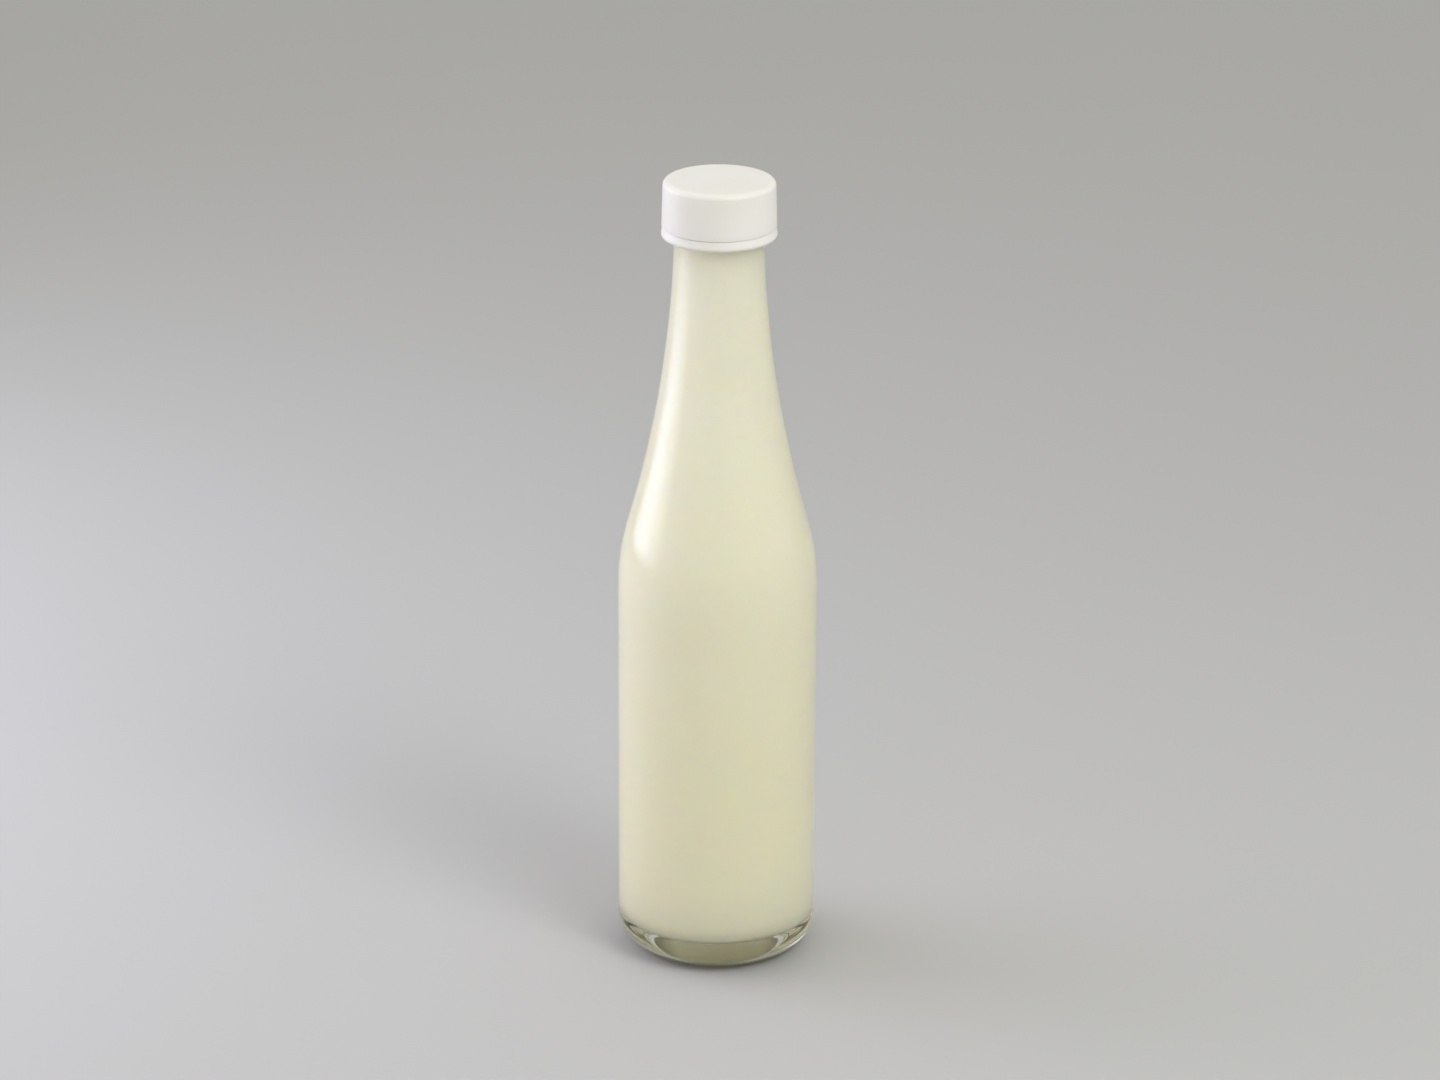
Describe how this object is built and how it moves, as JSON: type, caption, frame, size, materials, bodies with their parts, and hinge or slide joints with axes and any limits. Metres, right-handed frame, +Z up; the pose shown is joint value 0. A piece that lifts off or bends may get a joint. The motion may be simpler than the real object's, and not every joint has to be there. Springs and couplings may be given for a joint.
{
  "type": "milk bottle",
  "caption": "Tall clear glass milk bottle with a long tapered neck and thick base, filled with milk and closed by a white plastic screw cap with a breakaway band.",
  "frame": {"origin": "centre of the standing ring, on the surface that the bottle stands on", "axes": "+Z up along the axis of the bottle, from the base to the cap; X and Y are alike, because the outside is round"},
  "size_m": [0.066, 0.066, 0.2676],
  "materials": {
    "glass": "gloss",
    "milk": "satin",
    "cap_plastic": "satin",
    "band_plastic": "satin",
    "liner_foam": "matte"
  },
  "bodies": {
    "bottle": {"glass_bottle": "glass", "milk": "milk"},
    "liner": {"seal_liner": "liner_foam"},
    "cap": {"cap_shell": "cap_plastic"},
    "band": {"tamper_band": "band_plastic"}
  },
  "joints": [
    {"name": "cap_lift", "type": "slide", "parent": "bottle", "child": "liner", "axis": [0, 0, 1], "range_m": [0, 0.0324]},
    {"name": "cap_turn", "type": "hinge", "parent": "liner", "child": "cap", "pos_m": [0, 0, 0.26], "axis": [0, 0, 1], "range_deg": [0, 1080]},
    {"name": "band_turn", "type": "hinge", "parent": "bottle", "child": "band", "pos_m": [0, 0, 0.25], "axis": [0, 0, 1], "continuous": true}
  ],
  "couplings": [
    {"joint": "cap_lift", "follows": "cap_turn", "m_per_rad": 0.0017189}
  ]
}
